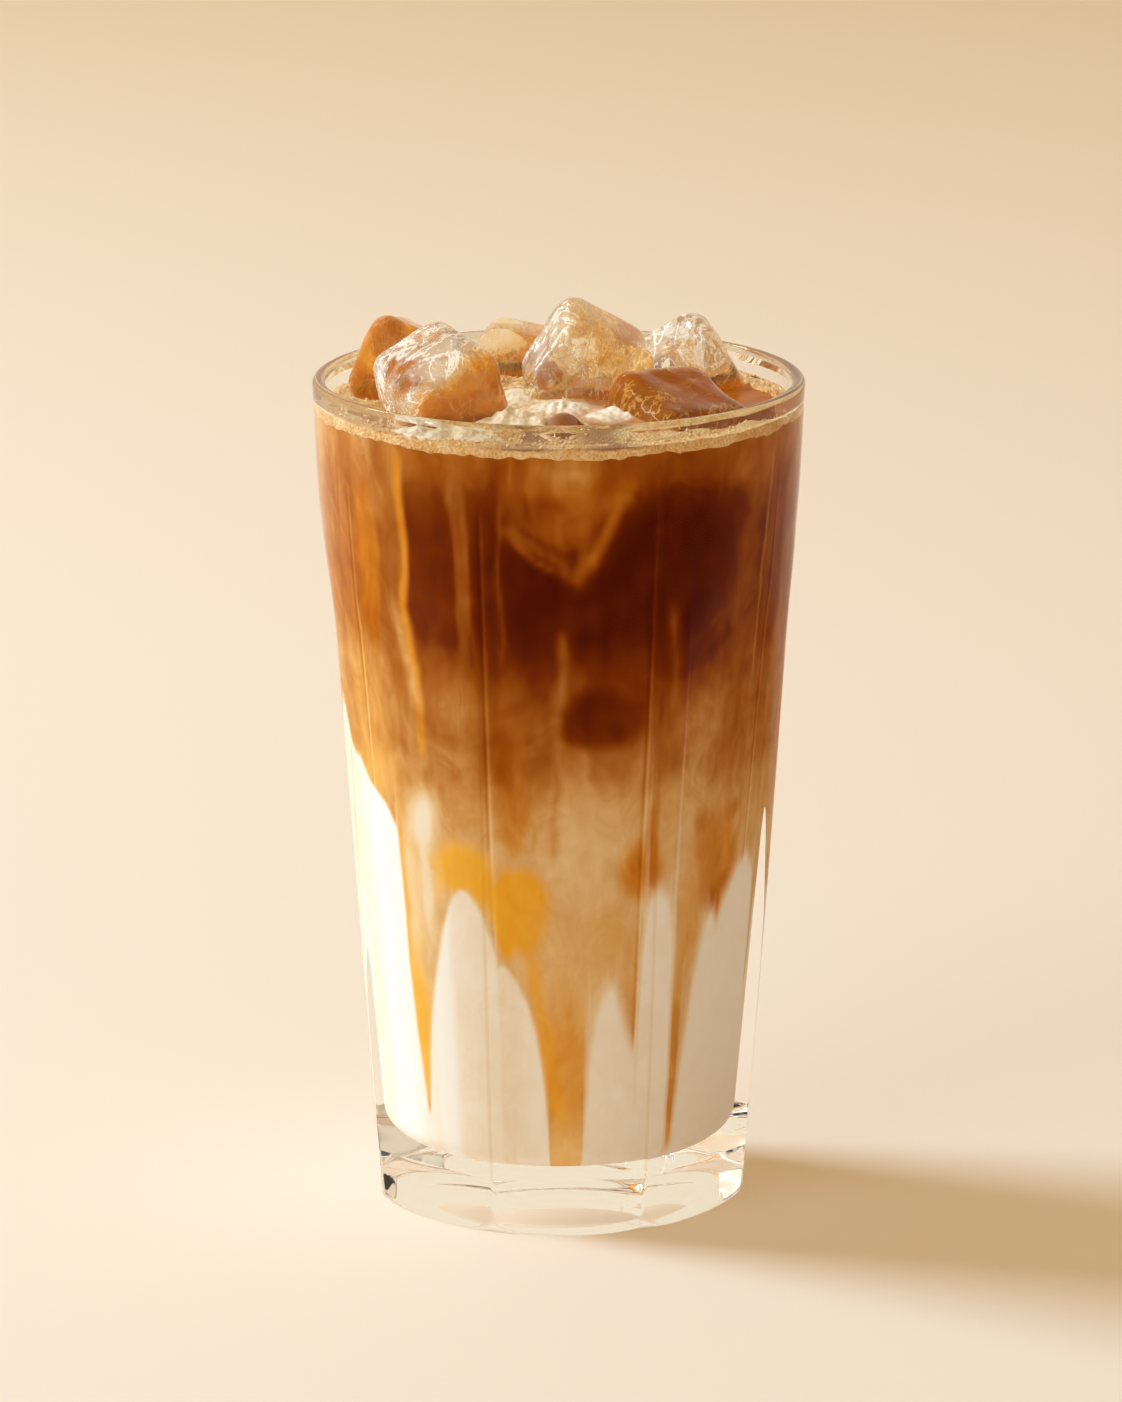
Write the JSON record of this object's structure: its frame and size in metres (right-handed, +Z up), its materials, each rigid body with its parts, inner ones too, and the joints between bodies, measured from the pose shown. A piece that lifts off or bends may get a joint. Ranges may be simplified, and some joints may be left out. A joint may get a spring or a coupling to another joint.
{
  "type": "iced latte",
  "caption": "Layered iced latte with ice cubes and foam in a tall tapered tumbler with flat side panels.",
  "frame": {"origin": "centre of the base, on the plane of the ring that it stands on", "axes": "+Z up along the tumbler's axis, -Y towards the front, +X to the right"},
  "size_m": [0.088, 0.088, 0.1637],
  "materials": {
    "clear_glass": "clear polished glass",
    "milk": "opaque off-white milk, glossy where wet",
    "milky_coffee": "cloudy tan liquid, glossy where wet",
    "coffee": "dark amber-brown liquid, glossy",
    "foam": "fine pale bubbly foam, matt",
    "ice": "wet half-melted clear ice"
  },
  "bodies": {
    "root": {"glass": "clear_glass", "milk": "milk", "milk_coffee_blend": "milky_coffee", "coffee": "coffee", "foam": "foam", "ice_left_back": "ice", "ice_left": "ice", "ice_back": "ice", "ice_centre": "ice", "ice_right_back": "ice", "ice_right_front": "ice", "ice_front": "ice"}
  },
  "joints": []
}
